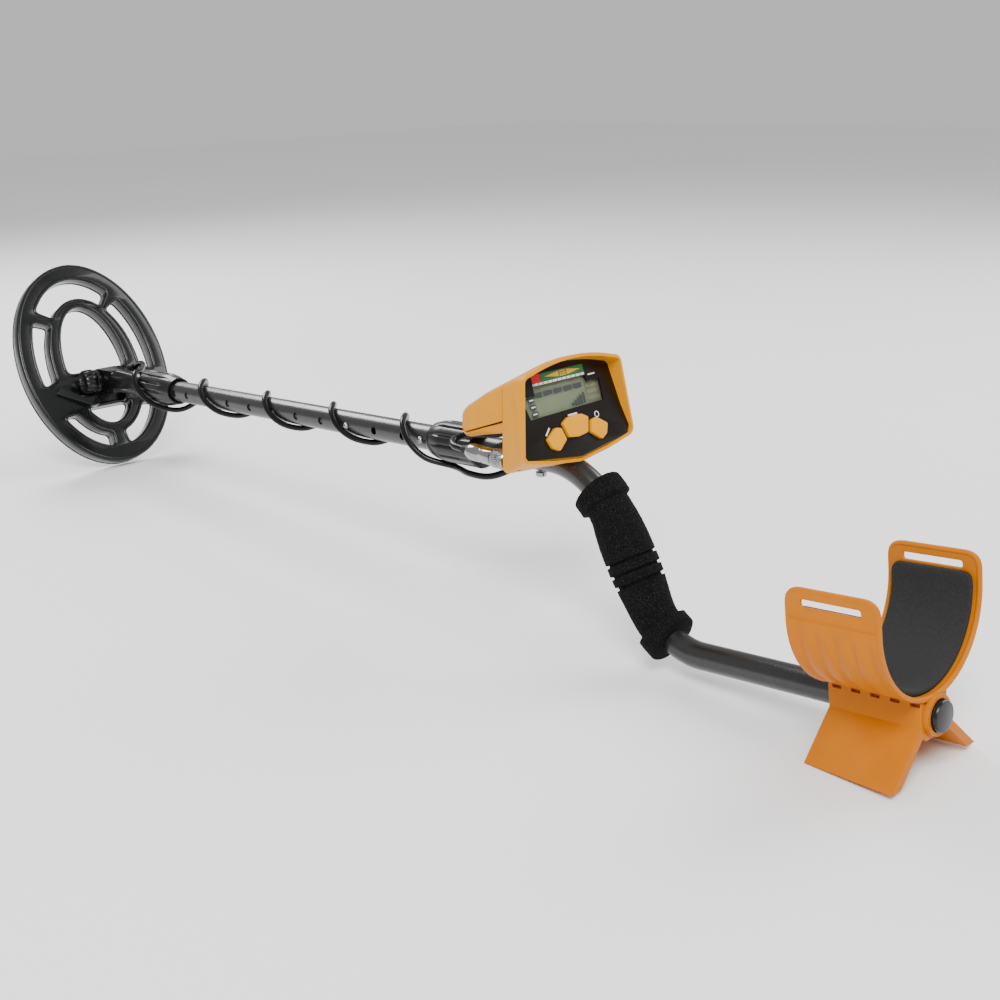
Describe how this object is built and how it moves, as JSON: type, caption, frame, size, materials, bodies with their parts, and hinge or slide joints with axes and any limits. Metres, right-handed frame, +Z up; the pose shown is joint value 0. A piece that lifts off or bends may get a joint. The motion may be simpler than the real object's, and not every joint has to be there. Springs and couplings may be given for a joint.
{
  "type": "metal detector",
  "caption": "Hobby metal detector: oval open search coil on a telescoping stem, wound coil cable, screen-and-key control box, foam grip, padded arm cuff with stand.",
  "frame": {"origin": "on the ground under the middle of the whole detector's box", "axes": "+Y towards the search coil along the stem, +X to the user's right, +Z up; the detector rests on its cuff stand and the coil's lower rim"},
  "size_m": [0.1652, 1.106, 0.2147],
  "materials": {
    "orange_plastic": "satin moulded orange",
    "yellow_plastic": "satin moulded yellow-orange",
    "key_plastic": "bright yellow moulded keys",
    "black_plastic": "satin black moulded",
    "panel": "dark brown-black printed panel",
    "coil_plastic": "charcoal semi-gloss moulded",
    "tube_paint": "satin dark grey coated aluminium",
    "stem_plastic": "glossy black",
    "foam": "open-pored black foam",
    "pad": "dark grey speckled padding",
    "rubber": "black rubber",
    "cable": "smooth black jacket",
    "chrome": "polished",
    "steel": "zinc plated",
    "copper": "enamelled copper wire",
    "circuit": "green circuit board",
    "lens": "clear window",
    "screen": "grey-green display",
    "cell": "wrapped dry cell"
  },
  "bodies": {
    "frame": {"arm_cuff": "orange_plastic", "cuff_stand": "orange_plastic", "housing": "yellow_plastic", "battery_tray": "yellow_plastic", "end_plug": "black_plastic", "face_panel": "panel", "s_rod": "tube_paint", "middle_tube": "tube_paint", "foam_grip": "foam", "cuff_pad": "pad", "plug_boot": "rubber", "key_mat": "rubber", "lower_collet": "rubber", "upper_collet": "rubber", "lower_gland": "rubber", "upper_gland": "rubber", "coil_cable": "cable", "coil_socket": "chrome", "plug_body": "chrome", "headphone_jack": "chrome", "cuff_bolt": "steel", "cuff_nut": "steel", "saddle_screw": "steel", "upper_spring_clip": "steel", "rear_contacts": "steel", "speaker": "steel", "circuit_board": "circuit", "screen_window": "lens", "screen_module": "screen", "battery_1": "cell", "battery_2": "cell", "battery_3": "cell", "battery_4": "cell"},
    "lower_stem": {"lower_stem": "stem_plastic", "stem_knuckle": "stem_plastic", "lower_spring_clip": "steel", "left_washer": "rubber", "right_washer": "rubber"},
    "coil": {"coil_shell": "coil_plastic", "coil_cover": "coil_plastic", "transmit_winding": "copper", "receive_winding": "copper", "clevis_bolt": "black_plastic", "coil_gland": "rubber"},
    "hand_knob": {"hand_knob": "black_plastic"},
    "lower_collar": {"lower_collar": "black_plastic"},
    "upper_collar": {"upper_collar": "black_plastic"},
    "lower_button": {"lower_button": "chrome"},
    "upper_button": {"upper_button": "chrome"},
    "key_left": {"key_left": "key_plastic"},
    "key_centre": {"key_centre": "key_plastic"},
    "key_right": {"key_right": "key_plastic"},
    "battery_cover": {"battery_cover": "yellow_plastic"},
    "coupling_ring": {"coupling_ring": "chrome"}
  },
  "joints": [
    {"name": "lower_stem_slide", "type": "slide", "parent": "frame", "child": "lower_stem", "axis": [0, 0.9984, -0.0569], "range_m": [0, 0.2286], "deforming": ["coil_cable"]},
    {"name": "coil_tilt", "type": "hinge", "parent": "lower_stem", "child": "coil", "pos_m": [0, 0.4639, 0.09445], "axis": [1, 0, 0], "range_deg": [-66, 104], "deforming": ["coil_cable"]},
    {"name": "knob_turn", "type": "hinge", "parent": "coil", "child": "hand_knob", "pos_m": [0, 0.4639, 0.09445], "axis": [1, 0, 0], "continuous": true},
    {"name": "lower_collar_twist", "type": "hinge", "parent": "frame", "child": "lower_collar", "pos_m": [0, -0.0161, 0.12179], "axis": [0, 0.9984, -0.0569], "range_deg": [0, 120]},
    {"name": "upper_collar_twist", "type": "hinge", "parent": "frame", "child": "upper_collar", "pos_m": [0, -0.0161, 0.12179], "axis": [0, 0.9984, -0.0569], "range_deg": [0, 120]},
    {"name": "lower_button_press", "type": "slide", "parent": "lower_stem", "child": "lower_button", "axis": [1, 0, 0], "range_m": [0, 0.0034], "stiffness_N_per_m": 300, "springref_m": -0.003, "deforming": ["lower_spring_clip"]},
    {"name": "upper_button_press", "type": "slide", "parent": "frame", "child": "upper_button", "axis": [1, 0, 0], "range_m": [0, 0.0034], "stiffness_N_per_m": 300, "springref_m": -0.003, "deforming": ["upper_spring_clip"]},
    {"name": "key_left_press", "type": "slide", "parent": "frame", "child": "key_left", "axis": [0, 0.9504, -0.3109], "range_m": [0, 0.0012], "stiffness_N_per_m": 400, "springref_m": -0.001},
    {"name": "key_centre_press", "type": "slide", "parent": "frame", "child": "key_centre", "axis": [0, 0.9504, -0.3109], "range_m": [0, 0.0012], "stiffness_N_per_m": 400, "springref_m": -0.001},
    {"name": "key_right_press", "type": "slide", "parent": "frame", "child": "key_right", "axis": [0, 0.9504, -0.3109], "range_m": [0, 0.0012], "stiffness_N_per_m": 400, "springref_m": -0.001},
    {"name": "battery_cover_slide", "type": "slide", "parent": "frame", "child": "battery_cover", "axis": [0, 1, 0], "range_m": [0, 0.06]},
    {"name": "coupling_ring_turn", "type": "hinge", "parent": "frame", "child": "coupling_ring", "pos_m": [-0.04, -0.2161, 0.1406], "axis": [0, 1, 0], "continuous": true}
  ]
}
